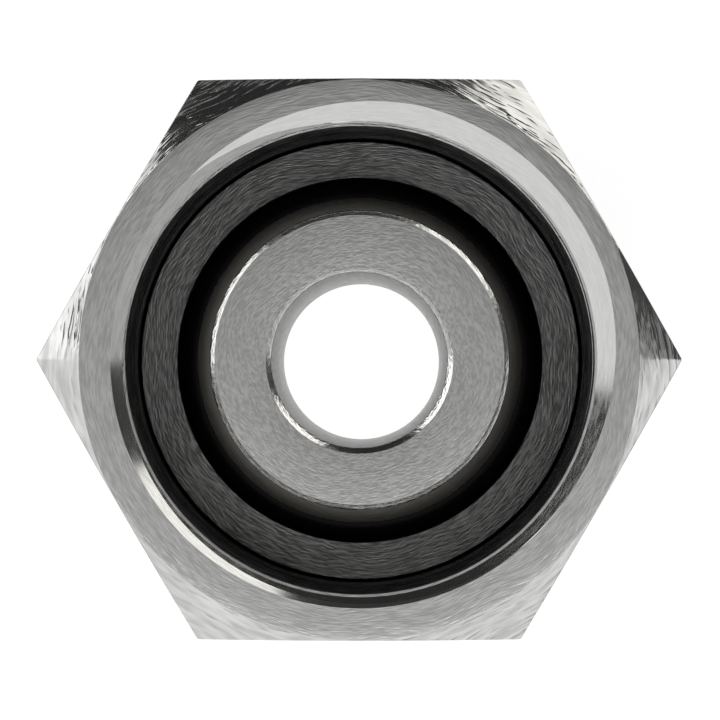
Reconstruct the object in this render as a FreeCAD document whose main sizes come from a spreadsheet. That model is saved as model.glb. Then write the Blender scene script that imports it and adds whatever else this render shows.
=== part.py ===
import FreeCAD, Part
import math
import os
import re
import Sketcher

# Tube reducer of the 24 degree cone kind: a swivel nut and O-ring cone for a 10 mm tube port on top,
# and a cutting ring with its nut for an 8 mm tube below.
# It stands on the tube nut, with its axis on Z, and the mouth of the swivel nut faces up.
# Lengths are in millimetres. Radial plays are on the radius.

SIZES = [
    # Swivel nut
    ("swivel_flats", 19.0, "swivel nut across the flats"),
    ("swivel_length", 16.0, "swivel nut from its mouth to the rolled collar's end"),
    ("swivel_hex_length", 11.5, "length of the swivel nut that is hexagonal"),
    ("swivel_bore", 16.0, "bore of the swivel nut, at the crests of its thread"),
    ("mouth_edge", 0.4, "width of the countersink at the mouth, on the radius"),
    ("mouth_angle", 45.0, "slope of the countersink from the face"),
    ("shoulder_dia", 17.2, "round part behind the hexagon"),
    ("collar_dia", 14.0, "outside of the rolled collar"),
    ("collar_length", 2.0, "straight part of the rolled collar"),
    ("collar_edge", 0.4, "chamfer at the collar's end"),
    ("swivel_play", 0.08, "between the neck and the rolled collar"),
    ("seat_gap", 0.12, "along the axis, between a 45 degree shoulder and its seat"),
    # Hexagons
    ("corner_angle", 30.0, "slope of the chamfer on the corners of every hexagon"),
    ("corner_land", 0.03, "from the flats in to the edge of the corner chamfer"),
    ("corner_margin", 0.5, "reach of the chamfer's cut beyond the corners"),
    # Cone end of the body
    ("tip_recess", 3.7, "tip of the cone below the swivel nut's mouth"),
    ("tip_dia", 10.38, "outside of the cone at its tip"),
    ("tip_edge", 0.17, "width of the outer chamfer at the tip, on the radius"),
    ("tip_edge_angle", 16.0, "slope of that chamfer from the tip's face"),
    ("cone_half_angle", 12.0, "half of the 24 degree cone"),
    ("cone_length", 5.95, "from the tip to the flange"),
    ("flow_bore", 6.1, "bore through the body"),
    ("bore_edge", 0.2, "width of the bore's chamfer at the tip, on the radius"),
    ("bore_edge_angle", 22.0, "slope of that chamfer from the tip's face"),
    ("groove_setback", 2.6, "from the tip to the O-ring groove"),
    ("groove_width", 1.95, "width of the O-ring groove"),
    ("groove_floor_dia", 9.95, "floor of the O-ring groove"),
    ("ring_section", 1.5, "thickness of the O-ring"),
    ("ring_seat_play", 0.01, "between the O-ring and its groove floor"),
    ("flange_play", 0.1, "between the flange and the swivel nut's bore"),
    ("flange_land", 1.35, "straight edge of the flange"),
    ("neck_dia", 10.4, "neck behind the flange, where the swivel nut turns"),
    # Middle of the body
    ("hex_gap", 1.0, "between the swivel nut and the body's hexagon"),
    ("body_hex_flats", 14.0, "body hexagon across the flats"),
    ("body_hex_length", 4.5, "length of the body hexagon"),
    ("thread_shown", 2.0, "from the body hexagon to the tube nut"),
    ("undercut_dia", 11.7, "undercut beside the hexagon"),
    ("undercut_width", 1.6, "width of the undercut"),
    # Tube end of the body
    ("tube_thread_dia", 14.0, "nominal thread of the tube end"),
    ("thread_pitch", 1.5, "pitch of the tube end's thread"),
    ("thread_length", 9.2, "from the hexagon to the body's end"),
    ("thread_play", 0.06, "between the two threads at their pitch diameter"),
    ("end_face_dia", 12.2, "flat end of the body, inside its chamfer"),
    ("cone_mouth_dia", 10.0, "24 degree cone at the body's end"),
    ("tube_dia", 8.0, "tube that goes in"),
    ("socket_play", 0.05, "between the tube and its socket"),
    ("socket_depth", 7.0, "from the body's end to the tube stop"),
    # Cutting ring
    ("ring_bore_play", 0.06, "between the tube and the cutting ring"),
    ("ring_cone_gap", 0.1, "between the cutting ring and the body's cone"),
    ("ring_nose_reach", 1.75, "reach of the ring's nose into the body"),
    ("ring_collar_dia", 10.8, "thick part of the ring"),
    ("ring_collar_gap", 0.3, "between the body's end and the thick part"),
    ("ring_front_slope", 0.5, "sloped front of the thick part"),
    ("ring_end_dia", 9.2, "rear face of the ring"),
    ("bite_width", 0.6, "length of each cutting edge and of the recess between them"),
    ("bite_depth", 0.27, "depth of the recess between the cutting edges"),
    # Tube nut
    ("tube_nut_flats", 17.0, "tube nut across the flats"),
    ("tube_nut_height", 14.5, "height of the tube nut"),
    ("tube_hole_play", 0.15, "between the tube and the hole of its nut"),
    ("tube_nut_wall", 1.7, "length of that hole"),
    ("tube_hole_edge", 0.3, "chamfer of that hole"),
    ("nut_mouth_dia", 14.3, "countersink of the tube nut's thread"),
]

# Levels and radii that follow from the sizes. Levels are measured up from the tube nut's end.
PLACES = {
    "hex_floor": "tube_nut_height + thread_shown",
    "hex_top": "hex_floor + body_hex_length",
    "swivel_floor": "hex_top + hex_gap",
    "swivel_top": "swivel_floor + swivel_length",
    "swivel_hex_floor": "swivel_top - swivel_hex_length",
    "tip_level": "swivel_top - tip_recess",
    "groove_top": "tip_level - groove_setback",
    "groove_bottom": "groove_top - groove_width",
    "flange_top": "tip_level - cone_length",
    "flange_floor": "flange_top - flange_land",
    "flange_radius": "swivel_bore / 2 - flange_play",
    "neck_radius": "neck_dia / 2",
    "neck_top": "flange_floor - flange_radius + neck_radius",
    "collar_bore_radius": "neck_radius + swivel_play",
    "seat_line": "flange_floor - flange_radius - seat_gap",
    "tip_radius": "tip_dia / 2",
    "tip_side": "tip_level - tip_edge * tan(tip_edge_angle)",
    "cone_slope": "tan(cone_half_angle)",
    "body_end": "hex_floor - thread_length",
    "pitch_radius": "tube_thread_dia / 2 - 3 / 16 * sqrt(3) * thread_pitch",
    "socket_radius": "tube_dia / 2 + socket_play",
    "socket_top": "body_end + socket_depth",
    "cone_mouth_radius": "cone_mouth_dia / 2",
    "nut_thread_radius": "pitch_radius + thread_play",
    "tube_hole_radius": "tube_dia / 2 + tube_hole_play",
    "ring_seat_line": "tube_nut_wall - tube_hole_radius + seat_gap",
    "ring_radius": "tube_dia / 2 + ring_bore_play",
    "ring_nose": "body_end + ring_nose_reach",
    "ring_front": "body_end - ring_collar_gap",
    "o_ring_radius": "groove_floor_dia / 2 + ring_seat_play + ring_section / 2",
    "o_ring_level": "groove_top - groove_width / 2",
}

# The O-ring's round section is drawn with this many flats, which lie on its circle.
O_RING_FLATS = 12

NAMES = {name for name, value, meaning in SIZES}
WORD = re.compile("[a-z_]+")


def make_sheet(doc):
    """The sheet of driving sizes, one row each: its meaning, then its value."""
    sheet = doc.addObject("Spreadsheet::Sheet", "Sizes")
    for row, (name, value, meaning) in enumerate(SIZES, start=1):
        sheet.set(f"A{row}", meaning)
        sheet.set(f"B{row}", str(value))
        sheet.setAlias(f"B{row}", name)
    doc.recompute()
    return sheet


def bound(text):
    """The expression with each size as its cell and each place written out."""

    def swap(found):
        word = found.group(0)
        if word in PLACES:
            return "(" + bound(PLACES[word]) + ")"
        if word in NAMES:
            return "Sizes." + word
        return word

    return WORD.sub(swap, text)


def origin_plane(body, role):
    """One of the body's own origin planes."""
    return next(plane for plane in body.Origin.OriginFeatures if plane.Role == role)


def pin_corner(sketch, line, direction, text):
    """Hold the start of a line at a distance from the sketch's origin, or on its axis for 0."""
    if text == "0":
        axis = -2 if direction == "X" else -1
        sketch.addConstraint(Sketcher.Constraint("PointOnObject", line, 1, axis))
        return
    place = getattr(sketch.Geometry[line].StartPoint, direction.lower())
    held = sketch.addConstraint(Sketcher.Constraint("Distance" + direction, -1, 1, line, 1, place))
    sketch.setExpression(f"Constraints[{held}]", bound(text))


def outline(body, name, corners):
    """A closed outline beside the Z axis. Each corner is a radius and a level."""
    sketch = body.newObject("Sketcher::SketchObject", name)
    sketch.AttachmentSupport = [(origin_plane(body, "XZ_Plane"), "")]
    sketch.MapMode = "FlatFace"
    count = len(corners)
    # The corners start on a circle, and their distances then pull each one to its place.
    turns = [2 * math.pi * number / count for number in range(count)]
    starts = [FreeCAD.Vector(2 + math.cos(turn), 2 + math.sin(turn), 0) for turn in turns]
    ends = starts[1:] + starts[:1]
    sketch.addGeometry([Part.LineSegment(start, end) for start, end in zip(starts, ends)], False)
    for line in range(count):
        following = (line + 1) % count
        sketch.addConstraint(Sketcher.Constraint("Coincident", line, 2, following, 1))
    for line, (radius, level) in enumerate(corners):
        pin_corner(sketch, line, "X", radius)
        pin_corner(sketch, line, "Y", level)
    return sketch


def turned(body, kind, name, corners):
    """Turn an outline about Z: kind is Revolution to add and Groove to cut."""
    sketch = outline(body, name + "_outline", corners)
    feature = body.newObject("PartDesign::" + kind, name)
    feature.Profile = sketch
    feature.ReferenceAxis = (sketch, ["V_Axis"])
    feature.Angle = 360
    body.Tip = feature
    return feature


def hexagon(body, name, flats, floor, length):
    """A hexagonal prism on Z with two of its corners on the X axis."""
    prism = body.newObject("PartDesign::AdditivePrism", name)
    prism.Polygon = 6
    prism.AttachmentSupport = [(origin_plane(body, "XY_Plane"), "")]
    prism.MapMode = "FlatFace"
    prism.setExpression("Circumradius", bound(f"{flats} / sqrt(3)"))
    prism.setExpression("Height", bound(length))
    prism.setExpression("AttachmentOffset.Base.z", bound(floor))
    body.Tip = prism
    return prism


def chamfer_corners(body, name, flats, level, side):
    """Cut the corners of a hexagon to a cone at one end: side is + at its top and - at its floor."""
    edge = f"({flats} / 2 - corner_land)"
    beyond = f"({flats} / sqrt(3) + corner_margin)"
    inward = "-" if side == "+" else "+"
    slope_end = f"{level} {inward} ({beyond} - {edge}) * tan(corner_angle)"
    corners = [(edge, level), (beyond, level), (beyond, slope_end)]
    return turned(body, "Groove", name, corners)


def new_body(doc, name):
    """An empty body at the part's origin. Its label names its file."""
    body = doc.addObject("PartDesign::Body", name)
    body.Label = name
    body.Placement = FreeCAD.Placement()
    return body


def cone_radius(depth):
    """Radius of the 24 degree cone at a depth below the tip."""
    return f"tip_radius + ({depth} - tip_edge * tan(tip_edge_angle)) * cone_slope"


def make_reducer_body(doc):
    """The turned body: cone, O-ring groove, flange, neck, hexagon and thread, bored through."""
    body = new_body(doc, "reducer_body")
    hexagon(body, "body_hexagon", "body_hex_flats", "hex_floor", "body_hex_length")
    chamfer_corners(body, "upper_corners", "body_hex_flats", "hex_top", "+")
    chamfer_corners(body, "lower_corners", "body_hex_flats", "hex_floor", "-")
    undercut_step = "pitch_radius - undercut_dia / 2"
    turned(body, "Revolution", "shank", [
        ("0", "body_end"),
        ("end_face_dia / 2", "body_end"),
        ("pitch_radius", "body_end + pitch_radius - end_face_dia / 2"),
        ("pitch_radius", f"hex_floor - undercut_width - ({undercut_step})"),
        ("undercut_dia / 2", "hex_floor - undercut_width"),
        ("undercut_dia / 2", "hex_top"),
        ("neck_radius", "hex_top"),
        ("neck_radius", "neck_top"),
        ("flange_radius", "flange_floor"),
        ("flange_radius", "flange_top"),
        (cone_radius("cone_length"), "flange_top"),
        (cone_radius("groove_setback + groove_width"), "groove_bottom"),
        ("groove_floor_dia / 2", "groove_bottom"),
        ("groove_floor_dia / 2", "groove_top"),
        (cone_radius("groove_setback"), "groove_top"),
        ("tip_radius", "tip_side"),
        ("tip_radius - tip_edge", "tip_level"),
        ("0", "tip_level"),
    ])
    turned(body, "Groove", "bore", [
        ("0", "body_end"),
        ("cone_mouth_radius", "body_end"),
        ("socket_radius", "body_end + (cone_mouth_radius - socket_radius) / cone_slope"),
        ("socket_radius", "socket_top"),
        ("flow_bore / 2", "socket_top"),
        ("flow_bore / 2", "tip_level - bore_edge * tan(bore_edge_angle)"),
        ("flow_bore / 2 + bore_edge", "tip_level"),
        ("0", "tip_level"),
    ])
    return body


def make_cone_o_ring(doc):
    """The O-ring, stretched onto the floor of its groove. One of its flats faces the floor."""
    body = new_body(doc, "cone_o_ring")
    half_flat = 180 / O_RING_FLATS
    corner_reach = f"ring_section / 2 / cos({half_flat})"
    corners = []
    for number in range(O_RING_FLATS):
        turn = (2 * number + 1) * half_flat
        corners.append((
            f"o_ring_radius + {corner_reach} * cos({turn})",
            f"o_ring_level + {corner_reach} * sin({turn})",
        ))
    turned(body, "Revolution", "ring", corners)
    return body


def make_swivel_nut(doc):
    """The swivel nut, with its rear rolled in behind the flange so that it can't come off."""
    body = new_body(doc, "swivel_nut")
    hexagon(body, "swivel_hexagon", "swivel_flats", "swivel_hex_floor", "swivel_hex_length")
    turned(body, "Revolution", "rolled_collar", [
        ("0", "swivel_floor"),
        ("collar_dia / 2 - collar_edge", "swivel_floor"),
        ("collar_dia / 2", "swivel_floor + collar_edge"),
        ("collar_dia / 2", "swivel_floor + collar_length"),
        ("shoulder_dia / 2", "swivel_floor + collar_length + (shoulder_dia - collar_dia) / 2"),
        ("shoulder_dia / 2", "swivel_hex_floor"),
        ("0", "swivel_hex_floor"),
    ])
    chamfer_corners(body, "front_corners", "swivel_flats", "swivel_top", "+")
    chamfer_corners(body, "rear_corners", "swivel_flats", "swivel_hex_floor", "-")
    turned(body, "Groove", "mouth_and_seat", [
        ("0", "swivel_floor"),
        ("collar_bore_radius", "swivel_floor"),
        ("collar_bore_radius", "seat_line + collar_bore_radius"),
        ("swivel_bore / 2", "seat_line + swivel_bore / 2"),
        ("swivel_bore / 2", "swivel_top - mouth_edge * tan(mouth_angle)"),
        ("swivel_bore / 2 + mouth_edge", "swivel_top"),
        ("0", "swivel_top"),
    ])
    return body


def make_cutting_ring(doc):
    """The cutting ring: two cutting edges at its nose, and a 45 degree rear that the nut pushes."""
    body = new_body(doc, "cutting_ring")
    mouth_wall = "cone_mouth_radius - ring_cone_gap"
    turned(body, "Revolution", "ring", [
        ("ring_radius", "ring_seat_line + ring_end_dia / 2"),
        ("ring_end_dia / 2", "ring_seat_line + ring_end_dia / 2"),
        ("ring_collar_dia / 2", "ring_seat_line + ring_collar_dia / 2"),
        ("ring_collar_dia / 2", "ring_front - ring_front_slope"),
        (mouth_wall, "ring_front"),
        (mouth_wall, "body_end"),
        (f"{mouth_wall} - ring_nose_reach * cone_slope", "ring_nose"),
        ("ring_radius", "ring_nose"),
        ("ring_radius", "ring_nose - bite_width / 2"),
        ("ring_radius + bite_depth", "ring_nose - bite_width / 2"),
        ("ring_radius + bite_depth", "ring_nose - bite_width"),
        ("ring_radius", "ring_nose - bite_width * 1.5"),
    ])
    return body


def make_tube_nut(doc):
    """The tube nut: a hole for the tube, a 45 degree seat for the ring, and the thread."""
    body = new_body(doc, "tube_nut")
    hexagon(body, "nut_hexagon", "tube_nut_flats", "0", "tube_nut_height")
    chamfer_corners(body, "nut_upper_corners", "tube_nut_flats", "tube_nut_height", "+")
    chamfer_corners(body, "nut_lower_corners", "tube_nut_flats", "0", "-")
    turned(body, "Groove", "thread_and_seat", [
        ("0", "0"),
        ("tube_hole_radius + tube_hole_edge", "0"),
        ("tube_hole_radius", "tube_hole_edge"),
        ("tube_hole_radius", "tube_nut_wall"),
        ("nut_thread_radius", "tube_nut_wall + nut_thread_radius - tube_hole_radius"),
        ("nut_thread_radius", "tube_nut_height - nut_mouth_dia / 2 + nut_thread_radius"),
        ("nut_mouth_dia / 2", "tube_nut_height"),
        ("0", "tube_nut_height"),
    ])
    return body


def check(doc, pieces):
    """Stop with a message if any object failed or any piece isn't one good solid."""
    for item in doc.Objects:
        if "Invalid" in item.State or "Error" in item.State:
            raise RuntimeError(f"{item.Name} failed: {item.State}")
    for piece in pieces:
        shape = piece.Shape
        if shape.isNull() or not shape.isValid() or len(shape.Solids) != 1:
            raise RuntimeError(f"{piece.Label} isn't one valid solid")
        box = shape.BoundBox
        print(f"{piece.Label}: {shape.Volume:.2f} mm3, level {box.ZMin:.3f} to {box.ZMax:.3f},"
              f" {box.XLength:.3f} x {box.YLength:.3f}")


def main():
    doc = FreeCAD.newDocument("tube_reducer")
    make_sheet(doc)
    pieces = [
        make_reducer_body(doc),
        make_cone_o_ring(doc),
        make_swivel_nut(doc),
        make_cutting_ring(doc),
        make_tube_nut(doc),
    ]
    doc.recompute()
    check(doc, pieces)
    os.makedirs("parts", exist_ok=True)
    for piece in pieces:
        piece.Shape.exportStep(os.path.join("parts", piece.Label + ".step"))


main()
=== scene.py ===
import bmesh
import bpy
import math
from mathutils import Matrix, Vector


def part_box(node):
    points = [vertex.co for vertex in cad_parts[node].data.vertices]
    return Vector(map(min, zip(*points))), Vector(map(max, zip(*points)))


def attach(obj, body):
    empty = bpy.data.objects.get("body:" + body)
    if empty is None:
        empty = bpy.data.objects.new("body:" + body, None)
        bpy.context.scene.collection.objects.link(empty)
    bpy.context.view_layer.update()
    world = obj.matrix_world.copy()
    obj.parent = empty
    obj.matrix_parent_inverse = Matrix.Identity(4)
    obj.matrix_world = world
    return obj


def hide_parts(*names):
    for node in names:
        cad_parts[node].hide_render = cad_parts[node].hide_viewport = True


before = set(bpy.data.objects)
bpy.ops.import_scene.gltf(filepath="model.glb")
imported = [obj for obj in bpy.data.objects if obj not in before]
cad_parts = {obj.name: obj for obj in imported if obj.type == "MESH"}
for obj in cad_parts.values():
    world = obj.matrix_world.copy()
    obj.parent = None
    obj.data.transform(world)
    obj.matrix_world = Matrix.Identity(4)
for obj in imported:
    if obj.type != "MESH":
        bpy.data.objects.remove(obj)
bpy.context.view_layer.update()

# All lengths below are in millimetres, and meshes are scaled to metres as they are made.
MM = 0.001
LOW, HIGH = 0, 1


def level(node, end):
    """Lowest or highest level of a CAD node."""
    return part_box(node)[end].z / MM


def flats_of(node):
    """Width across the flats, which lie on the Y axis."""
    return 2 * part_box(node)[HIGH].y / MM


# Levels and flats from the frame
SWIVEL_FLOOR = level("swivel_nut", LOW)
SWIVEL_TOP = round(level("swivel_nut", HIGH), 2)
BODY_END = level("reducer_body", LOW)
TIP_LEVEL = level("reducer_body", HIGH)
TUBE_NUT_FLOOR = level("tube_nut", LOW)
TUBE_NUT_TOP = level("tube_nut", HIGH)
SWIVEL_FLATS = flats_of("swivel_nut")
TUBE_NUT_FLATS = flats_of("tube_nut")

# Hexagons
CORNER_SLOPE = math.radians(30)
CORNER_LAND = 0.03
CORNER_ROUND = 0.12
EDGE_ROUND = 0.05
BODY_HEX_FLATS = 14.0
BODY_HEX_LENGTH = 4.5

# Swivel nut
SWIVEL_HEX_LENGTH = 11.5
SHOULDER_RADIUS = 8.6
COLLAR_RADIUS = 7.0
COLLAR_LENGTH = 2.0
COLLAR_EDGE = 0.4
COLLAR_BORE_RADIUS = 5.28
SWIVEL_BORE_RADIUS = 8.0
MOUTH_RADIUS = 8.4
MOUTH_SLOPE = math.radians(45)
SEAT_GAP = 0.12

# Threads: 60 degree form, with the pitch that all three share
PITCH = 1.5
SHARP_HEIGHT = PITCH * math.sqrt(3) / 2
FLANK = math.tan(math.radians(30))
INNER_DEPTH = SHARP_HEIGHT * 5 / 8
INNER_ROOT_FLAT = PITCH / 8
OUTER_DEPTH = SHARP_HEIGHT * 17 / 24
OUTER_ROOT_FLAT = PITCH / 6
RUN_OUT = 0.6
THREAD_PLAY = 0.03
SWIVEL_THREAD_LENGTH = 7.6
# The groove of the swivel nut leaves its face here, clockwise from the right as seen from above
SWIVEL_THREAD_START = 316
# How far below the mouth the painted shade, a near-black coat on the deeper thread, starts in the swivel
# nut, on the right as seen from above. Its edge climbs with the thread for half a turn either way.
SWIVEL_PAINTED_SHADE_DEPTH = 1.683
# The upper edges of the first crests are worn to a narrow bare flat, which fades out lower down
CREST_FLAT = 0.08
CREST_FLAT_SLOPE = 8.0
WEAR_DEPTH = 1.765
WEAR_FADE = 0.375
TUBE_THREAD_RADIUS = 7.0
TUBE_THREAD_PHASE = 0.4
# A nut's groove fades out above the end of its threaded bore
SWIVEL_FADE = 0.4
TUBE_NUT_FADE = 0.3
# Rows of points that part a thread from the plain wall before it and from the flat face after it
SWIVEL_PLAIN_ROW = 0.2
SWIVEL_FACE_ROW = 0.6
BODY_PLAIN_ROW = 0.01
TUBE_NUT_PLAIN_ROW = 0.1
TUBE_NUT_FACE_ROW = 0.2

# Cone end of the body
TIP_RADIUS = 5.19
TIP_EDGE = 0.17
TIP_EDGE_SLOPE = math.radians(16)
CONE_SLOPE = math.tan(math.radians(12))
CONE_LENGTH = 5.95
BORE_RADIUS = 3.05
BORE_EDGE = 0.2
BORE_EDGE_SLOPE = math.radians(22)
GROOVE_SETBACK = 2.6
GROOVE_WIDTH = 1.95
GROOVE_FLOOR_RADIUS = 4.975
FLANGE_RADIUS = 7.9
FLANGE_LAND = 1.35
NECK_RADIUS = 5.2

# Tube end of the body
THREAD_SHOWN = 2.0
UNDERCUT_RADIUS = 5.85
UNDERCUT_WIDTH = 1.6
END_FACE_RADIUS = 6.1
CONE_MOUTH_RADIUS = 5.0
SOCKET_RADIUS = 4.05
SOCKET_DEPTH = 7.0

# Tube nut
TUBE_HOLE_RADIUS = 4.15
TUBE_HOLE_EDGE = 0.3
TUBE_NUT_WALL = 1.7
NUT_MOUTH_RADIUS = 7.15
NUT_THREAD_FLOOR = 4.6

# Cutting ring
RING_RADIUS = 4.06
RING_END_RADIUS = 4.6
RING_COLLAR_RADIUS = 5.4
RING_WALL_RADIUS = 4.9
RING_NOSE_REACH = 1.75
RING_COLLAR_GAP = 0.3
RING_FRONT_SLOPE = 0.5
BITE_WIDTH = 0.6
BITE_DEPTH = 0.27

# O-ring, whose moulding line stands back from its section
O_RING_SECTION_RADIUS = 0.75
O_RING_LINE_DEPTH = 0.012
O_RING_STEPS = 36

HEX_FLOOR = TUBE_NUT_TOP + THREAD_SHOWN
HEX_TOP = HEX_FLOOR + BODY_HEX_LENGTH
SWIVEL_HEX_FLOOR = SWIVEL_TOP - SWIVEL_HEX_LENGTH
FLANGE_TOP = TIP_LEVEL - CONE_LENGTH
FLANGE_FLOOR = FLANGE_TOP - FLANGE_LAND
GROOVE_TOP = TIP_LEVEL - GROOVE_SETBACK
GROOVE_BOTTOM = GROOVE_TOP - GROOVE_WIDTH

# Finishes, as places in a piece's material list. The third is a nut's painted shade, a near-black coat on
# its deep thread and bore, and the body's rough cut. The fourth is a nut's finely cut thread and the dull
# skin of the body's sealing cone. The last is for the chamfered corners of the hexagons, whose marks are
# deeper.
TURNED, DRAWN, INNER, SMOOTH, CORNER = 0, 1, 2, 3, 4

# Mesh: points of a rounded corner, degrees between columns and from a hexagon's corner to the columns
# beside it, and the angle between two faces from which the edge between them is crisp
ARC_STEPS = 3
COLUMN_STEP = 1.0
BESIDE_CORNERS = (0.15, 0.3, 0.45, 0.6)
CRISP_ANGLE = math.radians(28)
# Points of an outline this close are one corner, and mesh points this close are welded
SAME_POINT = 1e-7
WELD = 1e-4
# A flank and a conical end whose slopes differ by less are parallel
PARALLEL = 0.01


def hexagon_radius(flats, angle):
    """Distance from the axis to a hexagon with rounded corners. One corner lies at angle 0."""
    turn = (math.degrees(angle) + 30) % 60 - 30
    from_corner = abs(math.radians(turn))
    half = math.radians(30)
    centre = (flats / 2 - CORNER_ROUND) / math.cos(half)
    arc_end = math.atan2(CORNER_ROUND * math.sin(half), centre + CORNER_ROUND * math.cos(half))
    if from_corner >= arc_end:
        return flats / 2 / math.cos(half - from_corner)
    rounding = CORNER_ROUND * CORNER_ROUND - (centre * math.sin(from_corner)) ** 2
    return centre * math.cos(from_corner) + math.sqrt(rounding)


def columns():
    """Angles of the mesh columns, closer beside the corners of the hexagons."""
    degrees = [number * COLUMN_STEP for number in range(int(360 / COLUMN_STEP))]
    for corner in range(0, 360, 60):
        for beside in BESIDE_CORNERS:
            degrees += [(corner - beside) % 360, corner + beside]
    return [math.radians(value) for value in sorted(degrees)] + [2 * math.pi]


def rounded(corners):
    """A closed outline with its corners rounded. Each corner is a radius, a level, a rounding and the
    finish of the side after it. Every corner gives the same number of points."""
    points = []
    for number, (radius, height, rounding, finish) in enumerate(corners):
        here = Vector((radius, height))
        before = Vector(corners[number - 1][:2]) - here
        after = Vector(corners[(number + 1) % len(corners)][:2]) - here
        if not rounding or before.length < SAME_POINT or after.length < SAME_POINT:
            points.append((here.x, here.y, finish, False))
            continue
        half = before.angle(after) / 2
        reach = min(rounding / math.tan(half), 0.45 * before.length, 0.45 * after.length)
        start = here + before.normalized() * reach
        end = here + after.normalized() * reach
        for step in range(ARC_STEPS + 1):
            share = step / ARC_STEPS
            bend = (1 - share) ** 2 * start + 2 * share * (1 - share) * here + share ** 2 * end
            points.append((bend.x, bend.y, finish, False))
    return points


def spin(name, outline, body, node, materials):
    """A piece turned about Z. outline(angle) is its closed section at that angle, always with as many
    points, so that rows can climb with a thread and corners can stand out. Each point is a radius, a
    level, the finish above it and whether the edge through it is crisp."""
    mesh = bmesh.new()
    rows = []
    for angle in columns():
        across, up = math.cos(angle) * MM, math.sin(angle) * MM
        rows.append([(mesh.verts.new((r * across, r * up, z * MM)), finish, crisp)
                     for r, z, finish, crisp in outline(angle)])
    for left, right in zip(rows, rows[1:]):
        for row, (vertex, finish, crisp) in enumerate(left):
            above = (row + 1) % len(left)
            face = mesh.faces.new((vertex, right[row][0], right[above][0], left[above][0]))
            face.material_index = finish
            face.smooth = True
            if crisp:
                mesh.edges.get((vertex, right[row][0])).smooth = False
    bmesh.ops.remove_doubles(mesh, verts=mesh.verts, dist=WELD * MM)
    flat = [face for face in mesh.faces if face.calc_area() < (WELD * MM) ** 2]
    bmesh.ops.delete(mesh, geom=flat, context="FACES")
    bmesh.ops.recalc_face_normals(mesh, faces=mesh.faces)
    for edge in mesh.edges:
        if edge.calc_face_angle(0) > CRISP_ANGLE:
            edge.smooth = False
    data = bpy.data.meshes.new(name)
    mesh.to_mesh(data)
    mesh.free()
    for material in materials:
        data.materials.append(material)
    piece = bpy.data.objects.new(name, data)
    bpy.context.scene.collection.objects.link(piece)
    weighted = piece.modifiers.new("weighted_normals", "WEIGHTED_NORMAL")
    weighted.keep_sharp = True
    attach(piece, body)
    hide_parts(node)
    return piece


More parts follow.
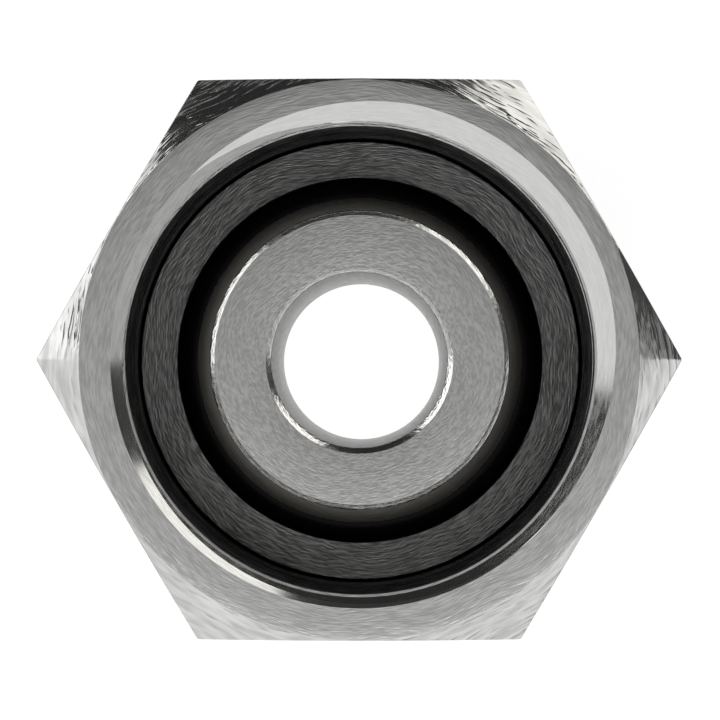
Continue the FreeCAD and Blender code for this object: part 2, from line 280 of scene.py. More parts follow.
class Thread:
    """A helical groove of 60 degree form. side is 1 where it is cut outward into a nut, and -1 where it
    is cut inward into a screw. phase is the level of a groove's middle at angle 0, painted_shade_top the
    level that the painted shade, a near-black coat on the thread, reaches there, and wear_floor the level
    where the worn flats of the crests end. fades has each level where the groove runs out, with 1 where the
    groove lies above it, else -1."""

    def __init__(self, side, crest, depth, root_flat, phase, low, high, fades,
                 painted_shade_top=-math.inf, wear_floor=math.inf):
        self.side = side
        self.cut_finish = SMOOTH if side > 0 else TURNED
        self.crest = crest
        self.depth = depth
        self.root_half = root_flat / 2
        self.phase = phase
        self.low = low
        self.high = high
        self.fades = fades
        self.painted_shade_top = painted_shade_top
        self.wear_floor = wear_floor
        self.chamfers = []

    def chamfer(self, face, face_radius, slope, inward):
        """A conical end: slope is measured from the face, and inward is 1 for a face on top, else -1."""
        growth = 1 / math.tan(slope)
        extent = abs(face_radius - self.crest) / growth
        self.chamfers.append((face, face_radius, growth, inward, extent))

    def turns(self, angle):
        """Middle level and depth of each turn of the groove, and the flat on the crest below it."""
        first = self.phase + PITCH * angle / (2 * math.pi)
        start = math.floor((self.low - self.phase) / PITCH) - 2
        stop = math.ceil((self.high - self.phase) / PITCH) + 1
        found = []
        for number in range(start, stop + 1):
            middle = first + number * PITCH
            depth = self.depth
            for end, inward in self.fades:
                depth *= min(1, max(0, inward * (middle - end) / RUN_OUT))
            flat = CREST_FLAT * min(1, max(0, (middle - self.wear_floor) / WEAR_FADE))
            found.append((middle, depth, flat))
        return found

    def surface(self, height, turns, painted_shade_top):
        """Radius of the surface at a level, and its finish."""
        cut = 0
        # Below the edge of the painted shade the surface takes the near-black coat.
        finish = INNER if height < painted_shade_top else self.cut_finish
        for middle, depth, flat in turns:
            reach = (self.root_half + depth * FLANK - abs(height - middle)) / FLANK
            if height < middle and reach > 0 and flat:
                sloped = reach + flat * (1 - 1 / CREST_FLAT_SLOPE)
                if reach * CREST_FLAT_SLOPE < sloped:
                    finish = TURNED
                reach = min(reach * CREST_FLAT_SLOPE, sloped)
            cut = max(cut, min(depth, reach))
        reach = self.side * self.crest + cut
        for face, face_radius, growth, inward, extent in self.chamfers:
            below = inward * (face - height)
            cone = self.side * face_radius - below * growth
            if 0 <= below <= extent + SAME_POINT and cone > reach:
                reach = cone
                finish = self.cut_finish
        return self.side * reach, finish

    def crossings(self, turns):
        """Levels where the flanks of the groove meet the conical ends."""
        found = []
        for face, face_radius, growth, inward, extent in self.chamfers:
            ends = sorted((face, face - inward * extent))
            found += ends
            for middle, depth, flat in turns:
                for flank in (1, -1):
                    lean = inward * growth + flank / FLANK
                    if abs(lean) < PARALLEL:
                        found.append(ends[1])
                        continue
                    top = self.side * (self.crest - face_radius) + self.root_half / FLANK + depth
                    if flank < 0:
                        top += flat * (1 - 1 / CREST_FLAT_SLOPE)
                    meeting = (top + flank * middle / FLANK + inward * growth * face) / lean
                    found.append(min(ends[1], max(ends[0], meeting)))
        return found

    def rows(self, angle):
        """Points of the section, down a nut or up a screw, each with a crisp edge."""
        turns = self.turns(angle)
        levels = [self.low, self.high] + self.crossings(turns)
        for middle, depth, flat in turns:
            reach = self.root_half + depth * FLANK
            root = self.root_half + flat * (1 - 1 / CREST_FLAT_SLOPE) * FLANK
            levels += [middle - reach, middle - reach + flat / CREST_FLAT_SLOPE * FLANK]
            levels += [middle - root, middle + self.root_half, middle + reach]
        levels = [min(self.high, max(self.low, height)) for height in levels]
        levels.sort(reverse=self.side > 0)
        turn = angle / (2 * math.pi)
        # The edge of the painted shade climbs with the thread for half a turn either way.
        painted_shade_top = self.painted_shade_top + PITCH * (turn - 1 if turn > 0.5 else turn)
        points = []
        for height, following in zip(levels, levels[1:] + levels[-1:]):
            radius = self.surface(height, turns, painted_shade_top)[0]
            finish = self.surface((height + following) / 2, turns, painted_shade_top)[1]
            points.append((radius, height, finish, True))
        return points


def corner_chamfer(flats, reach):
    """How far the corner chamfer drops at a distance from the axis."""
    return max(0, reach - flats / 2 + CORNER_LAND) * math.tan(CORNER_SLOPE)


def hexagon_side(flats, floor, top, angle):
    """Corners of the outline of a hexagon with both of its ends chamfered, from its floor to its top."""
    reach = hexagon_radius(flats, angle)
    drop = corner_chamfer(flats, reach)
    land = flats / 2 - CORNER_LAND
    return [
        (land, floor, EDGE_ROUND, CORNER),
        (reach, floor + drop, EDGE_ROUND, DRAWN),
        (reach, top - drop, EDGE_ROUND, CORNER),
        (land, top, EDGE_ROUND, TURNED),
    ]


def make_swivel_nut(materials):
    """Hexagon nut whose rear is rolled in behind the flange, with its thread open at the mouth."""
    thread_floor = SWIVEL_TOP - SWIVEL_THREAD_LENGTH
    start = -math.radians(SWIVEL_THREAD_START)
    phase = SWIVEL_TOP - PITCH * start / (2 * math.pi)
    thread = Thread(1, SWIVEL_BORE_RADIUS, INNER_DEPTH, INNER_ROOT_FLAT, phase,
                    thread_floor, SWIVEL_TOP, [(thread_floor + SWIVEL_FADE, 1)],
                    SWIVEL_TOP - SWIVEL_PAINTED_SHADE_DEPTH, SWIVEL_TOP - WEAR_DEPTH)
    thread.chamfer(SWIVEL_TOP, MOUTH_RADIUS, MOUTH_SLOPE, 1)
    seat = FLANGE_FLOOR - FLANGE_RADIUS - SEAT_GAP
    shoulder = SWIVEL_FLOOR + COLLAR_LENGTH

    def outline(angle):
        lower = rounded([
            (SWIVEL_BORE_RADIUS, thread_floor - SWIVEL_PLAIN_ROW, 0, INNER),
            (SWIVEL_BORE_RADIUS, seat + SWIVEL_BORE_RADIUS, 0.2, TURNED),
            (COLLAR_BORE_RADIUS, seat + COLLAR_BORE_RADIUS, 0.1, TURNED),
            (COLLAR_BORE_RADIUS, SWIVEL_FLOOR, 0.12, TURNED),
            (COLLAR_RADIUS - COLLAR_EDGE, SWIVEL_FLOOR, 0.1, TURNED),
            (COLLAR_RADIUS, SWIVEL_FLOOR + COLLAR_EDGE, 0.3, TURNED),
            (COLLAR_RADIUS, shoulder, 0.8, TURNED),
            (SHOULDER_RADIUS, shoulder + SHOULDER_RADIUS - COLLAR_RADIUS, 0.5, TURNED),
            (SHOULDER_RADIUS, SWIVEL_HEX_FLOOR, 0.15, TURNED),
        ] + hexagon_side(SWIVEL_FLATS, SWIVEL_HEX_FLOOR, SWIVEL_TOP, angle) + [
            (MOUTH_RADIUS + SWIVEL_FACE_ROW, SWIVEL_TOP, 0, TURNED),
        ])
        return lower + thread.rows(angle)

    return spin("swivel_nut_piece", outline, "swivel", "swivel_nut", materials)


def make_reducer_body(materials):
    """Cone with its groove, flange, neck, hexagon and thread, bored through."""
    undercut_floor = HEX_FLOOR - UNDERCUT_WIDTH
    thread = Thread(-1, TUBE_THREAD_RADIUS - THREAD_PLAY, OUTER_DEPTH, OUTER_ROOT_FLAT + 2 * THREAD_PLAY,
                    TUBE_THREAD_PHASE + PITCH / 2, BODY_END, undercut_floor, [])
    thread.chamfer(BODY_END, END_FACE_RADIUS, math.radians(45), -1)
    thread.chamfer(undercut_floor, UNDERCUT_RADIUS, math.radians(45), 1)
    tip_drop = TIP_EDGE * math.tan(TIP_EDGE_SLOPE)

    def cone_radius(depth):
        return TIP_RADIUS + (depth - tip_drop) * CONE_SLOPE

    neck_top = FLANGE_FLOOR - FLANGE_RADIUS + NECK_RADIUS
    socket_cone = (CONE_MOUTH_RADIUS - SOCKET_RADIUS) / CONE_SLOPE

    def outline(angle):
        upper = rounded([
            (UNDERCUT_RADIUS, undercut_floor + BODY_PLAIN_ROW, 0, TURNED),
            (UNDERCUT_RADIUS, HEX_FLOOR, 0.2, TURNED),
        ] + hexagon_side(BODY_HEX_FLATS, HEX_FLOOR, HEX_TOP, angle) + [
            (NECK_RADIUS, HEX_TOP, 0.2, INNER),
            (NECK_RADIUS, neck_top, 0.3, INNER),
            (FLANGE_RADIUS, FLANGE_FLOOR, 0.12, INNER),
            (FLANGE_RADIUS, FLANGE_TOP, 0.06, INNER),
            (cone_radius(CONE_LENGTH), FLANGE_TOP, 0.15, SMOOTH),
            (cone_radius(GROOVE_SETBACK + GROOVE_WIDTH), GROOVE_BOTTOM, 0.06, INNER),
            (GROOVE_FLOOR_RADIUS, GROOVE_BOTTOM, 0.15, INNER),
            (GROOVE_FLOOR_RADIUS, GROOVE_TOP, 0.15, INNER),
            (cone_radius(GROOVE_SETBACK), GROOVE_TOP, 0.06, SMOOTH),
            (TIP_RADIUS, TIP_LEVEL - tip_drop, 0.03, TURNED),
            (TIP_RADIUS - TIP_EDGE, TIP_LEVEL, 0.03, TURNED),
            (BORE_RADIUS + BORE_EDGE, TIP_LEVEL, 0.03, TURNED),
            (BORE_RADIUS, TIP_LEVEL - BORE_EDGE * math.tan(BORE_EDGE_SLOPE), 0.03, INNER),
            (BORE_RADIUS, BODY_END + SOCKET_DEPTH, 0.08, INNER),
            (SOCKET_RADIUS, BODY_END + SOCKET_DEPTH, 0.1, INNER),
            (SOCKET_RADIUS, BODY_END + socket_cone, 0.2, INNER),
            (CONE_MOUTH_RADIUS, BODY_END, 0.06, TURNED),
        ])
        return upper + thread.rows(angle)

    return spin("reducer_body_piece", outline, "reducer", "reducer_body", materials)


def make_tube_nut(materials):
    """Hexagon nut with a hole for the tube, a 45 degree seat and the thread."""
    # The painted shade covers this nut's whole thread.
    thread = Thread(1, TUBE_THREAD_RADIUS - INNER_DEPTH, INNER_DEPTH, INNER_ROOT_FLAT, TUBE_THREAD_PHASE,
                    NUT_THREAD_FLOOR, TUBE_NUT_TOP, [(NUT_THREAD_FLOOR + TUBE_NUT_FADE, 1)],
                    TUBE_NUT_TOP + PITCH)
    thread.chamfer(TUBE_NUT_TOP, NUT_MOUTH_RADIUS, math.radians(45), 1)
    seat_top = TUBE_NUT_WALL + thread.crest - TUBE_HOLE_RADIUS

    def outline(angle):
        lower = rounded([
            (thread.crest, NUT_THREAD_FLOOR - TUBE_NUT_PLAIN_ROW, 0, TURNED),
            (thread.crest, seat_top, 0.3, TURNED),
            (TUBE_HOLE_RADIUS, TUBE_NUT_WALL, 0.1, TURNED),
            (TUBE_HOLE_RADIUS, TUBE_NUT_FLOOR + TUBE_HOLE_EDGE, 0.05, TURNED),
            (TUBE_HOLE_RADIUS + TUBE_HOLE_EDGE, TUBE_NUT_FLOOR, 0.05, TURNED),
        ] + hexagon_side(TUBE_NUT_FLATS, TUBE_NUT_FLOOR, TUBE_NUT_TOP, angle) + [
            (NUT_MOUTH_RADIUS + TUBE_NUT_FACE_ROW, TUBE_NUT_TOP, 0, TURNED),
        ])
        return lower + thread.rows(angle)

    return spin("tube_nut_piece", outline, "nut", "tube_nut", materials)


def make_cutting_ring(materials):
    """Cutting ring: two cutting edges at its nose and a 45 degree rear."""
    floor = level("cutting_ring", LOW)
    nose = BODY_END + RING_NOSE_REACH
    front = BODY_END - RING_COLLAR_GAP

    def outline(angle):
        return rounded([
            (RING_RADIUS, floor, 0.05, TURNED),
            (RING_END_RADIUS, floor, 0.08, TURNED),
            (RING_COLLAR_RADIUS, floor + RING_COLLAR_RADIUS - RING_END_RADIUS, 0.12, TURNED),
            (RING_COLLAR_RADIUS, front - RING_FRONT_SLOPE, 0.12, TURNED),
            (RING_WALL_RADIUS, front, 0.1, TURNED),
            (RING_WALL_RADIUS, BODY_END, 0.1, TURNED),
            (RING_WALL_RADIUS - RING_NOSE_REACH * CONE_SLOPE, nose, 0.04, TURNED),
            (RING_RADIUS, nose, 0.01, TURNED),
            (RING_RADIUS, nose - BITE_WIDTH / 2, 0.01, TURNED),
            (RING_RADIUS + BITE_DEPTH, nose - BITE_WIDTH / 2, 0.03, TURNED),
            (RING_RADIUS + BITE_DEPTH, nose - BITE_WIDTH, 0.03, TURNED),
            (RING_RADIUS, nose - BITE_WIDTH * 1.5, 0.01, TURNED),
        ])

    return spin("cutting_ring_piece", outline, "ring", "cutting_ring", materials)


def make_o_ring(materials):
    """O-ring with the faint moulding line round its outside."""
    low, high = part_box("cone_o_ring")
    middle = (low.z + high.z) / 2 / MM
    centre = high.x / MM - O_RING_SECTION_RADIUS

    def outline(angle):
        points = []
        for step in range(O_RING_STEPS):
            turn = 2 * math.pi * step / O_RING_STEPS
            reach = O_RING_SECTION_RADIUS - (O_RING_LINE_DEPTH if step in (1, O_RING_STEPS - 1) else 0)
            points.append((centre + reach * math.cos(turn), middle + reach * math.sin(turn), TURNED, False))
        return points

    return spin("o_ring_piece", outline, "reducer", "cone_o_ring", materials)


# Marks of turning and drawing: how many fit in a millimetre along and across them, how far they wander
# and their share in the whole. MARKS_RANGE is the range of the noise that they are drawn from.
FINE_MARKS = (2.4, 17.0, 0.55, 0.6)
COARSE_MARKS = (1.2, 7.0, 0.6, 0.4)
MARKS_RANGE = (0.38, 0.62)
# Millimetres between the patterns of two seeds, the scale on which marks wander, the radius of the
# circle that carries the turned ones, and how much a level counts beside a radius
SEED_SHIFT = 37.0
WANDER_SCALE = 0.3
MARKS_CIRCLE = 8.0
LEVEL_SHARE = 0.7
ROUGHNESS_SPREAD = 0.04
ANISOTROPY = 0.3

NUT_COLOUR = (0.60, 0.60, 0.59)
BODY_COLOUR = (0.56, 0.56, 0.55)
RING_COLOUR = (0.50, 0.49, 0.47)
CONE_COLOUR = (0.37, 0.355, 0.32)
# Near-black painted shade for the deep threads and bores of the nuts
PAINTED_SHADE_COLOURS = (0.004, 0.004, 0.004), (0.016, 0.016, 0.0155)
RUBBER_COLOURS = (0.0008, 0.0008, 0.0009), (0.0022, 0.0022, 0.0024)
RUBBER_GRAIN = 9000


class Nodes:
    """Short calls for the node tree of a material or world."""

    def __init__(self, tree):
        self.tree = tree
        tree.nodes.clear()

    def add(self, kind, inputs=None, **settings):
        """A node with its settings, and its inputs as plain values or as the outputs that feed them."""
        node = self.tree.nodes.new(kind)
        for name, value in settings.items():
            setattr(node, name, value)
        for name, value in (inputs or {}).items():
            if isinstance(value, bpy.types.NodeSocket):
                self.tree.links.new(value, node.inputs[name])
            else:
                node.inputs[name].default_value = value
        return node

    def math(self, operation, first, second=0.0):
        return self.add("ShaderNodeMath", {0: first, 1: second}, operation=operation).outputs[0]

    def vector(self, operation, first, second=(0, 0, 0)):
        return self.add("ShaderNodeVectorMath", {0: first, 1: second}, operation=operation).outputs[0]

    def noise(self, place, scale, detail, rough=0.5):
        settings = {"Vector": place, "Scale": scale, "Detail": detail, "Roughness": rough}
        return self.add("ShaderNodeTexNoise", settings).outputs[0]

    def blend(self, share, first, second):
        """A colour between two, each given as three parts."""
        node = self.add("ShaderNodeMix", data_type="RGBA")
        factor, low, high = [socket for socket in node.inputs if socket.enabled]
        self.tree.links.new(share, factor)
        low.default_value = (*first, 1)
        high.default_value = (*second, 1)
        return next(socket for socket in node.outputs if socket.enabled)

    def spread(self, value, low, high, to_low=0.0, to_high=1.0):
        """The value mapped from one range to another, and held inside it."""
        settings = {"Value": value, "From Min": low, "From Max": high, "To Min": to_low, "To Max": to_high}
        return self.add("ShaderNodeMapRange", settings).outputs["Result"]


def new_material(name):
    material = bpy.data.materials.new(name)
    material.use_nodes = True
    return material, Nodes(material.node_tree)


def streaks(nodes, along, across, bend, seed, axial=False):
    """Short marks round the axis, or along it on drawn flats. along and across are how many fit in a
    millimetre each way, and bend is how far a mark wanders from its line."""
    place = nodes.add("ShaderNodeTexCoord").outputs["Object"]
    place = nodes.vector("SCALE", place)
    place.node.inputs["Scale"].default_value = 1 / MM
    place = nodes.vector("ADD", place, (0, 0, SEED_SHIFT * seed))
    wander = nodes.noise(place, WANDER_SCALE, 0)
    wander = nodes.spread(wander, 0, 1, -bend, bend)
    split = nodes.add("ShaderNodeSeparateXYZ", {0: place})
    x, y, z = split.outputs
    if axial:
        side = nodes.math("ADD", nodes.math("MULTIPLY", x, across), wander)
        other = nodes.math("MULTIPLY", y, across)
        line = nodes.add("ShaderNodeCombineXYZ", {0: side, 1: other, 2: nodes.math("MULTIPLY", z, along)})
        return nodes.noise(line.outputs[0], 1, 1)
    flat = nodes.vector("MULTIPLY", place, (1, 1, 0))
    radius = nodes.add("ShaderNodeVectorMath", {0: flat}, operation="LENGTH").outputs["Value"]
    # A circle of one size carries the marks, so that they meet where the circle closes.
    circle = nodes.vector("SCALE", nodes.vector("NORMALIZE", flat))
    circle.node.inputs["Scale"].default_value = MARKS_CIRCLE * along
    reach = nodes.math("ADD", radius, nodes.math("MULTIPLY", z, LEVEL_SHARE))
    reach = nodes.math("ADD", reach, wander)
    lift = nodes.add("ShaderNodeCombineXYZ", {2: nodes.math("MULTIPLY", reach, across)})
    return nodes.noise(nodes.vector("ADD", circle, lift.outputs[0]), 1, 1)


def make_steel(name, colour, roughness, relief, axial=False, seed=1.0, contrast=0.12, metal=1.0,
               marks_scale=(1.0, 1.0, 1.0)):
    """Bare steel with the marks of turning, or of drawing along the axis. relief is their depth in
    millimetres, contrast how much they change the colour, and marks_scale is for their length, their
    width and how far they wander."""
    material, nodes = new_material(name)
    length, width, wander = marks_scale
    marks = 0.0
    for number, (along, across, bend, share) in enumerate((FINE_MARKS, COARSE_MARKS)):
        layer = streaks(nodes, along / length, across / width, bend * wander, seed + number, axial)
        marks = nodes.math("ADD", marks, nodes.math("MULTIPLY", layer, share))
    marks = nodes.spread(marks, *MARKS_RANGE)
    shade = nodes.blend(marks, [part * (1 - contrast) for part in colour],
                        [min(1.0, part * (1 + contrast)) for part in colour])
    rough = nodes.spread(marks, 0, 1, roughness + ROUGHNESS_SPREAD, roughness - ROUGHNESS_SPREAD)
    bump = nodes.add("ShaderNodeBump", {"Height": marks, "Strength": 1.0, "Distance": relief * MM})
    tangent = nodes.add("ShaderNodeTangent", direction_type="RADIAL", axis="Z")
    shader = nodes.add("ShaderNodeBsdfPrincipled", {
        "Base Color": shade,
        "Metallic": metal,
        "Roughness": rough,
        "Anisotropic": ANISOTROPY,
        "Normal": bump.outputs["Normal"],
        "Tangent": tangent.outputs["Tangent"],
    })
    nodes.add("ShaderNodeOutputMaterial", {"Surface": shader.outputs["BSDF"]})
    return material


def make_painted_shade():
    """Near-black coat on the threads and bores of the nuts: painted shade for their depths."""
    material, nodes = new_material("thread_painted_shade")
    marks = nodes.spread(streaks(nodes, 1.2, 6.0, 0.6, 11.0), 0.36, 0.64)
    shade = nodes.blend(marks, *PAINTED_SHADE_COLOURS)
    rough = nodes.spread(marks, 0, 1, 0.62, 0.5)
    bump = nodes.add("ShaderNodeBump", {"Height": marks, "Strength": 0.6, "Distance": 0.002 * MM})
    shader = nodes.add("ShaderNodeBsdfPrincipled", {
        "Base Color": shade,
        "Roughness": rough,
        "Specular IOR Level": 0.2,
        "Normal": bump.outputs["Normal"],
    })
    nodes.add("ShaderNodeOutputMaterial", {"Surface": shader.outputs["BSDF"]})
    return material


def make_rubber():
    """Black sealing rubber with a satin skin."""
    material, nodes = new_material("seal_rubber")
    place = nodes.add("ShaderNodeTexCoord").outputs["Object"]
    grain = nodes.noise(place, RUBBER_GRAIN, 3)
    shade = nodes.blend(grain, *RUBBER_COLOURS)
    rough = nodes.spread(grain, 0.3, 0.7, 0.3, 0.42)
    bump = nodes.add("ShaderNodeBump", {"Height": grain, "Strength": 0.6, "Distance": 0.002 * MM})
    shader = nodes.add("ShaderNodeBsdfPrincipled", {
        "Base Color": shade,
        "Roughness": rough,
        "Specular IOR Level": 0.12,
        "Normal": bump.outputs["Normal"],
    })
    nodes.add("ShaderNodeOutputMaterial", {"Surface": shader.outputs["BSDF"]})
    return material


# Stage, in metres
WORLD_LIGHT = 0.8
FLOOR_HALF = 3.0
FLOOR_PALE = 0.8
FLOOR_WHITE_SHARE = 0.6
FLOOR_WHITE = 1.3
# Under the bore the floor glows brighter, painted light over the part's own shadow
FLOOR_PAINTED_LIGHT_UNDER_BORE = 1.7
LAMP_SIZE = 0.5
LAMP_POWER = 1.2
LAMP_PLACE = (-0.25, -0.2, 0.45)
# The camera stands this far above the mouth. It stands and looks a little off the axis, as in the photo
# (all three in millimetres).
CAMERA_HEIGHT = 140
CAMERA_OFFSET = (0.574, -0.517)
TARGET_OFFSET = (0.034, -0.017)
FOCAL_LENGTH = 207.4
SENSOR_WIDTH = 36
# Colours of the cards
WHITE = (1.0, 1.0, 1.0)
WARM = (1.0, 0.98, 0.93)
FAINTLY_WARM = (1.0, 0.98, 0.94)
CARD_STEPS = 16
LEAST_GLOW = 0.02


def seen_ray(nodes):
    """1 for rays from the camera and for those that metal or glass sends on, else 0."""
    path = nodes.add("ShaderNodeLightPath").outputs
    seen = nodes.math("MAXIMUM", path["Is Camera Ray"], path["Is Glossy Ray"])
    return nodes.math("MAXIMUM", seen, path["Is Transmission Ray"])


def make_world():
    """White where it is seen, and plain soft light on the part."""
    world = bpy.data.worlds.new("studio")
    world.use_nodes = True
    nodes = Nodes(world.node_tree)
    light = nodes.add("ShaderNodeBackground", {"Color": (1, 1, 1, 1), "Strength": WORLD_LIGHT})
    white = nodes.add("ShaderNodeBackground", {"Color": (1, 1, 1, 1), "Strength": 1.0})
    mixed = nodes.add("ShaderNodeMixShader", {
        0: seen_ray(nodes), 1: light.outputs[0], 2: white.outputs[0],
    })
    nodes.add("ShaderNodeOutputWorld", {"Surface": mixed.outputs[0]})
    bpy.context.scene.world = world


def make_floor():
    """A pale floor, shown white, that keeps the part's shadow, except under the bore, where painted light
    covers it.
    """
    mesh = bmesh.new()
    sides = (-1, -1), (1, -1), (1, 1), (-1, 1)
    mesh.faces.new([mesh.verts.new((FLOOR_HALF * x, FLOOR_HALF * y, 0)) for x, y in sides])
    data = bpy.data.meshes.new("floor")
    mesh.to_mesh(data)
    mesh.free()
    material, nodes = new_material("floor")
    pale = nodes.add("ShaderNodeBsdfDiffuse", {"Color": (FLOOR_PALE, FLOOR_PALE, FLOOR_PALE, 1)})
    # The spot that shows through the bore lies in the part's own shadow, and glows brighter there as
    # painted light over it.
    place = nodes.add("ShaderNodeTexCoord").outputs["Object"]
    radius = nodes.add("ShaderNodeVectorMath", {0: place}, operation="LENGTH").outputs["Value"]
    edge = (SOCKET_RADIUS * MM, TUBE_HOLE_RADIUS * MM)
    glow = nodes.spread(radius, *edge, FLOOR_PAINTED_LIGHT_UNDER_BORE, FLOOR_WHITE)
    white = nodes.add("ShaderNodeEmission", {"Color": (1, 1, 1, 1), "Strength": glow})
    share = nodes.math("MULTIPLY", seen_ray(nodes), FLOOR_WHITE_SHARE)
    mixed = nodes.add("ShaderNodeMixShader", {0: share, 1: pale.outputs[0], 2: white.outputs[0]})
    nodes.add("ShaderNodeOutputMaterial", {"Surface": mixed.outputs[0]})
    data.materials.append(material)
    floor = bpy.data.objects.new("floor", data)
    bpy.context.scene.collection.objects.link(floor)


def make_card(name, distance, turn, rise, strength, soft=3.0, lean=0.0, colour=WHITE):
    """A curved card round the mouth, which only the metal reflects. turn is its extent clockwise from the
    right as seen from above, and rise its extent above the horizon, both in degrees. Its edges fade out
    over soft degrees. lean is how much its strength grows from the far side to the near one."""
    mesh = bmesh.new()
    cover = mesh.verts.layers.float.new("cover")

    def places(low, high):
        """Angles from one edge to the other, each with how much the card covers there."""
        inner = [low + soft + (high - low - 2 * soft) * step / CARD_STEPS for step in range(CARD_STEPS + 1)]
        return [(low, 0.0)] + [(value, 1.0) for value in inner] + [(high, 0.0)]

    around = places(*turn)
    if turn[1] - turn[0] >= 360:
        around = [(360 * step / (4 * CARD_STEPS), 1.0) for step in range(4 * CARD_STEPS + 1)]
    grid = []
    for height, share in places(*rise):
        line = []
        for side, other in around:
            up, angle = math.radians(height), -math.radians(side)
            vertex = mesh.verts.new((distance * math.cos(up) * math.cos(angle),
                                     distance * math.cos(up) * math.sin(angle),
                                     distance * math.sin(up) + SWIVEL_TOP * MM))
            vertex[cover] = share * other
            line.append(vertex)
        grid.append(line)
    for low, high in zip(grid, grid[1:]):
        for number in range(len(low) - 1):
            mesh.faces.new((low[number], low[number + 1], high[number + 1], high[number]))
    data = bpy.data.meshes.new(name)
    mesh.to_mesh(data)
    mesh.free()
    material, nodes = new_material(name)
    power = strength
    if lean:
        depth = nodes.add("ShaderNodeSeparateXYZ", {0: nodes.add("ShaderNodeTexCoord").outputs["Object"]})
        power = nodes.math("MULTIPLY", depth.outputs["Y"], -lean / distance)
        power = nodes.math("MAXIMUM", nodes.math("ADD", power, strength), LEAST_GLOW)
    glow = nodes.add("ShaderNodeEmission", {"Color": (*colour, 1), "Strength": power})
    clear = nodes.add("ShaderNodeBsdfTransparent")
    mask = nodes.add("ShaderNodeAttribute", attribute_name="cover").outputs["Fac"]
    mixed = nodes.add("ShaderNodeMixShader", {0: mask, 1: clear.outputs[0], 2: glow.outputs[0]})
    nodes.add("ShaderNodeOutputMaterial", {"Surface": mixed.outputs[0]})
    data.materials.append(material)
    card = bpy.data.objects.new(name, data)
    card.visible_camera = False
    card.visible_diffuse = False
    card.visible_shadow = False
    bpy.context.scene.collection.objects.link(card)


def make_lamp():
    """One large soft lamp, high on the left."""
    lamp = bpy.data.lights.new("soft_lamp", "AREA")
    lamp.shape = "DISK"
    lamp.size = LAMP_SIZE
    lamp.energy = LAMP_POWER
    holder = bpy.data.objects.new("soft_lamp", lamp)
    holder.location = LAMP_PLACE
    holder.rotation_mode = "QUATERNION"
    holder.rotation_quaternion = holder.location.to_track_quat("Z", "Y")
    holder.visible_glossy = False
    bpy.context.scene.collection.objects.link(holder)


def make_camera():
    """Looks straight down the axis into the swivel nut."""
    camera = bpy.data.cameras.new("camera")
    camera.sensor_width = SENSOR_WIDTH
    camera.lens = FOCAL_LENGTH
    camera.clip_start = 0.01
    camera.clip_end = 20
    holder = bpy.data.objects.new("camera", camera)
    place = Vector((*CAMERA_OFFSET, SWIVEL_TOP + CAMERA_HEIGHT)) * MM
    target = Vector((*TARGET_OFFSET, SWIVEL_TOP)) * MM
    back = (place - target).normalized()
    right = Vector((0, 1, 0)).cross(back).normalized()
    holder.location = place
    holder.rotation_mode = "QUATERNION"
    holder.rotation_quaternion = Matrix((right, back.cross(right), back)).transposed().to_quaternion()
    bpy.context.scene.collection.objects.link(holder)
    bpy.context.scene.camera = holder


make_camera()
make_world()
make_floor()
make_lamp()
# The camera doesn't see the cards, only the metal does. The scrim overhead is brighter on its near side.
# Strips light the part and flags darken it, and a nearer card stands in front of the rest.
make_card("overhead_scrim", 0.70, (0, 360), (64, 92), 0.5, 2, lean=1.25)
make_card("scrim_edge", 0.68, (0, 360), (52, 66), 0.1, 1)
make_card("high_near_card", 0.65, (30, 150), (64, 77), 1.5, 3)
make_card("grey_ring", 0.66, (0, 360), (40, 53), 0.6, 1)
make_card("near_card", 0.66, (-4, 92), (-6, 12), 0.6, 4)
make_card("low_flag", 0.62, (184, 354), (29, 41), 0.03, 1.5)
make_card("far_flag", 0.60, (224, 290), (-6, 15), 0.05, 4)
make_card("high_far_flag", 0.60, (221, 295), (13, 62), 0.03, 2)
make_card("right_flag", 0.60, (328, 360), (-6, 54), 0.06, 2)
make_card("right_fade", 0.59, (347, 363), (18, 33), 0.35, 5)
make_card("high_left_strip", 0.56, (180, 228), (41, 50.5), 2.8, 1.5)
make_card("upper_left_strip", 0.55, (177, 228), (50, 66), 1.8, 1.5)
make_card("high_far_strip", 0.56, (293, 334), (41, 50.5), 2.6, 1.5, colour=WARM)
make_card("upper_far_strip", 0.55, (293, 334), (50, 66), 1.7, 1.5, colour=WARM)
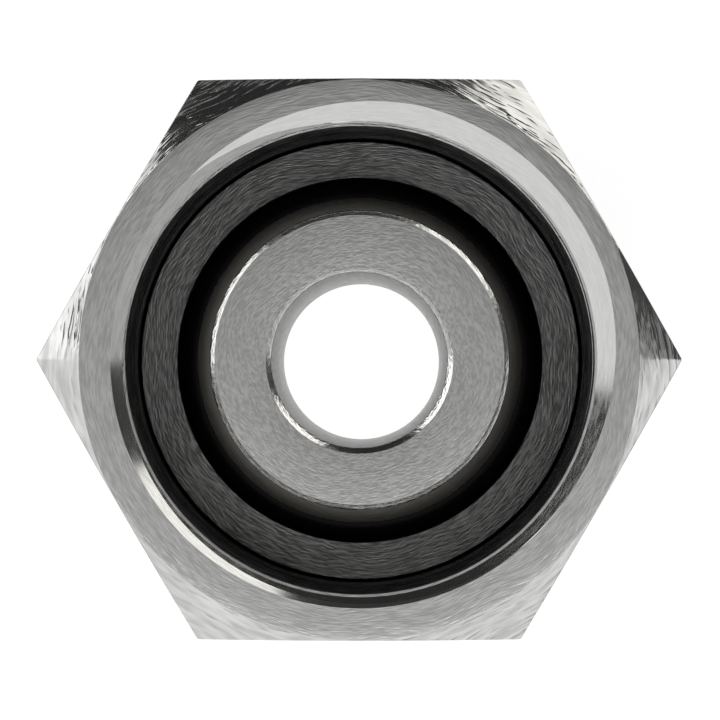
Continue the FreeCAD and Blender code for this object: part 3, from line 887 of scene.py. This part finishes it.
make_card("left_strip", 0.56, (180, 230), (-6, 14), 1.4, 3)
make_card("middle_left_strip", 0.56, (180, 223), (12, 30), 1.4, 3)
make_card("far_strip", 0.56, (288, 335), (-6, 14), 1.5, 3, colour=FAINTLY_WARM)
make_card("middle_far_strip", 0.56, (290, 335), (12, 30), 1.3, 2, colour=FAINTLY_WARM)
# Two grey cards stand close on the left and right, below the mouth, and set the flats off.
make_card("right_side_flag", 0.045, (-48, 48), (-57, -1), 0.3, 8)
make_card("left_side_flag", 0.045, (132, 228), (-57, -1), 0.3, 8)

nut_turned = make_steel("nut_turned", NUT_COLOUR, 0.13, 0.002, seed=1.0, contrast=0.15)
nut_corners = make_steel("nut_corners", NUT_COLOUR, 0.13, 0.011, seed=17.0, contrast=0.15,
                         marks_scale=(1.8, 1.2, 0.4))
nut_drawn = make_steel("nut_drawn", NUT_COLOUR, 0.2, 0.0012, axial=True, seed=3.0)
nut_threaded = make_steel("nut_threaded", NUT_COLOUR, 0.14, 0.0003, seed=4.0, contrast=0.04)
body_turned = make_steel("body_turned", BODY_COLOUR, 0.15, 0.0025, seed=5.0, contrast=0.15)
body_drawn = make_steel("body_drawn", BODY_COLOUR, 0.22, 0.0012, axial=True, seed=7.0)
body_bored = make_steel("body_bored", BODY_COLOUR, 0.42, 0.005, seed=13.0, contrast=0.3)
body_cone = make_steel("body_cone", CONE_COLOUR, 0.5, 0.002, seed=15.0, metal=0.3)
ring_turned = make_steel("ring_turned", RING_COLOUR, 0.3, 0.003, seed=9.0)
# Near-black painted shade for the deep threads of the nuts
painted_shade_coat = make_painted_shade()
rubber = make_rubber()

# Each list holds a piece's materials in the order of the finishes.
make_swivel_nut([nut_turned, nut_drawn, painted_shade_coat, nut_threaded, nut_corners])
make_reducer_body([body_turned, body_drawn, body_bored, body_cone, body_turned])
make_tube_nut([nut_turned, nut_drawn, painted_shade_coat, nut_threaded, nut_corners])
make_cutting_ring([ring_turned])
make_o_ring([rubber])

bpy.context.scene.view_settings.view_transform = "Standard"
